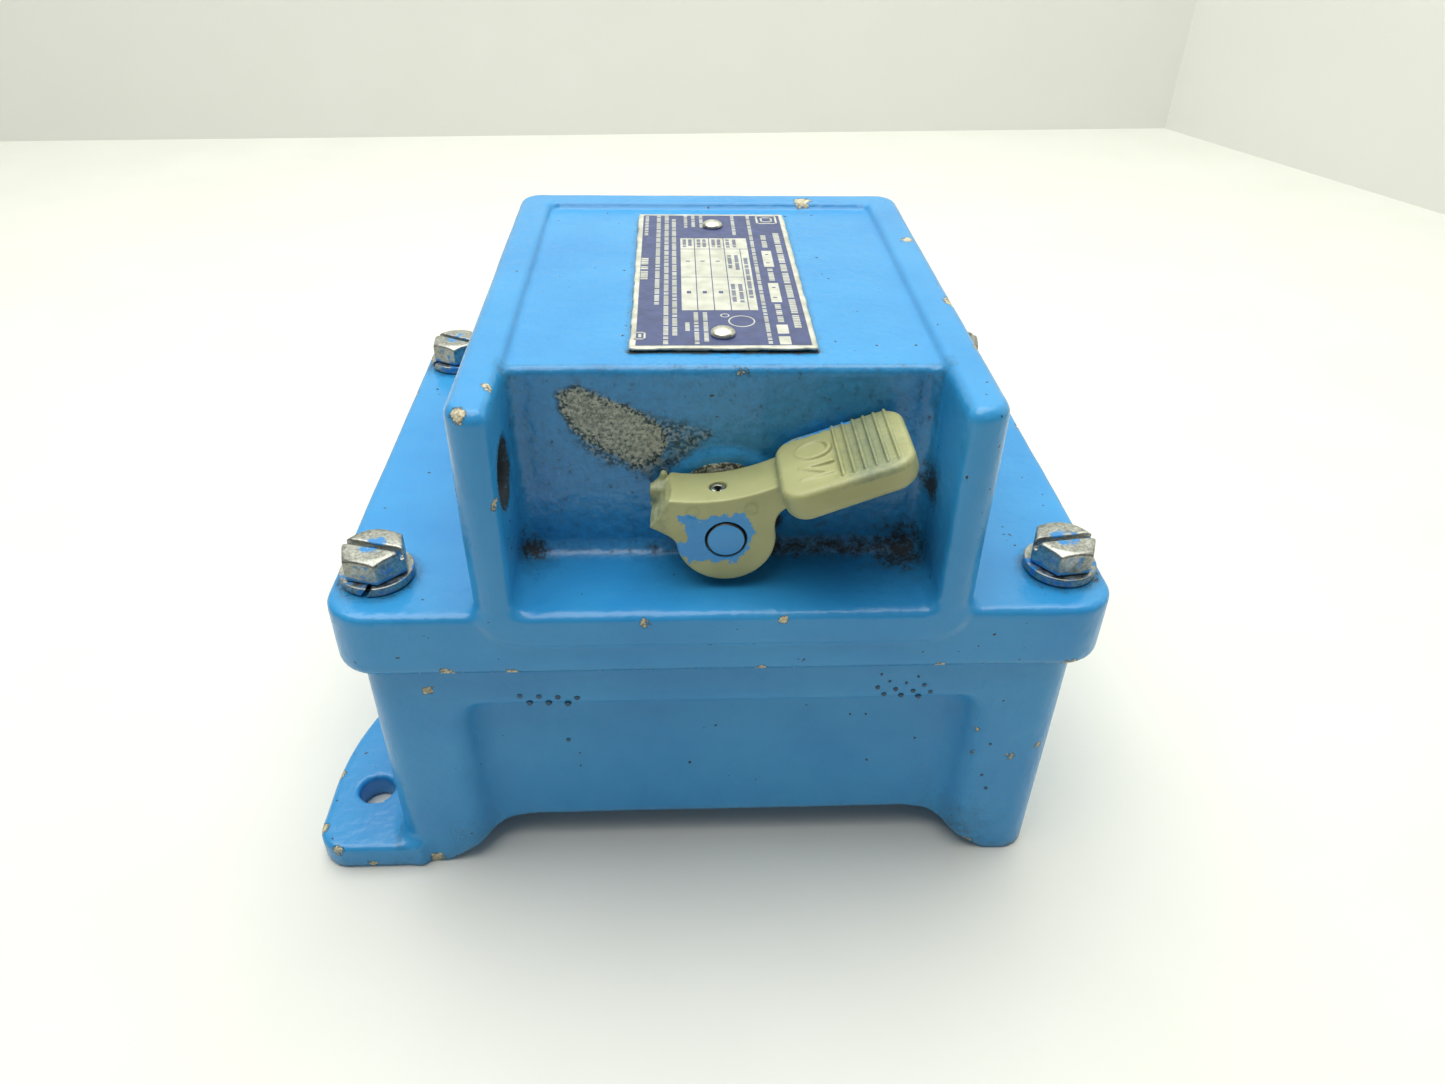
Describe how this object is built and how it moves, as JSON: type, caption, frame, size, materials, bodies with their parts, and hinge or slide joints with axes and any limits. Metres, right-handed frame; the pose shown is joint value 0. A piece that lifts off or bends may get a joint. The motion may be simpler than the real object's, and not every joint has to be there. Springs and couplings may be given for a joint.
{
  "type": "manual motor switch in hazardous-location enclosure",
  "caption": "Cast two-part hazardous-location enclosure with a side lever in an open pocket that works a three-pole manual switch inside.",
  "frame": {"origin": "middle of the enclosure's outline on the plane that its feet stand on", "axes": "+X towards the line (upper) conduit entry, +Y away from the lever pocket, +Z out of the cover"},
  "size_m": [0.2036, 0.1378, 0.133],
  "materials": {
    "blue_enamel": "gloss enamel over a sand casting, with orange peel, chips and grime",
    "zinc_steel": "zinc plated, dulled, with traces of blue paint",
    "bare_aluminium": "bare, grey and slightly corroded",
    "nameplate": "etched plate with dark blue ink and a bare border",
    "nylon": "aged ivory nylon, slightly translucent",
    "dark_steel": "dark oiled steel",
    "phenolic": "moulded black phenolic",
    "red_moulding": "moulded red phenolic",
    "copper": "bare copper",
    "brass": "bare brass",
    "green_steel": "green dyed zinc"
  },
  "bodies": {
    "enclosure": {"base_housing": "blue_enamel", "cover": "blue_enamel", "nameplate": "nameplate", "shaft_bushing": "bare_aluminium", "switch_block": "phenolic", "switch_lid": "phenolic", "toggle_yoke": "zinc_steel", "toggle_pin": "dark_steel", "ground_screw": "green_steel", "carrier_spring_front": "zinc_steel", "carrier_spring_rear": "zinc_steel", "cover_bolt_front_left": "zinc_steel", "lock_washer_front_left": "zinc_steel", "cover_bolt_front_right": "zinc_steel", "lock_washer_front_right": "zinc_steel", "cover_bolt_back_left": "zinc_steel", "lock_washer_back_left": "zinc_steel", "cover_bolt_back_right": "zinc_steel", "lock_washer_back_right": "zinc_steel", "nameplate_rivet_1": "bare_aluminium", "lid_screw_1": "zinc_steel", "switch_mount_screw_1": "zinc_steel", "nameplate_rivet_2": "bare_aluminium", "lid_screw_2": "zinc_steel", "switch_mount_screw_2": "zinc_steel", "line_contact_1": "brass", "load_contact_1": "brass", "line_screw_1": "zinc_steel", "load_screw_1": "zinc_steel", "line_contact_2": "brass", "load_contact_2": "brass", "line_screw_2": "zinc_steel", "load_screw_2": "zinc_steel", "line_contact_3": "brass", "load_contact_3": "brass", "line_screw_3": "zinc_steel", "load_screw_3": "zinc_steel"},
    "lever_assembly": {"operating_shaft": "dark_steel", "lever": "nylon", "lever_roll_pin": "dark_steel", "shaft_retaining_ring": "zinc_steel", "shaft_crank": "zinc_steel", "crank_pin": "dark_steel"},
    "toggle": {"toggle": "red_moulding"},
    "contact_carriage": {"contact_carrier": "phenolic", "contact_bridge_1": "copper", "contact_bridge_2": "copper", "contact_bridge_3": "copper"}
  },
  "joints": [
    {"name": "lever_swing", "type": "hinge", "parent": "enclosure", "child": "lever_assembly", "pos_m": [0, -0.055, 0.0982], "axis": [0, -1, 0], "range_deg": [0, 30]},
    {"name": "toggle_swing", "type": "hinge", "parent": "enclosure", "child": "toggle", "pos_m": [0, 0, 0.0702], "axis": [0, 1, 0], "range_deg": [0, 30]},
    {"name": "contact_slide", "type": "slide", "parent": "enclosure", "child": "contact_carriage", "axis": [0, 0, -1], "range_m": [0, 0.0042], "stiffness_N_per_m": 25, "springref_m": -0.008, "deforming": ["carrier_spring_front", "carrier_spring_rear"]}
  ],
  "couplings": [
    {"joint": "toggle_swing", "follows": "lever_swing", "ratio": 1},
    {"joint": "contact_slide", "follows": "lever_swing", "m_per_rad": 0.008}
  ]
}
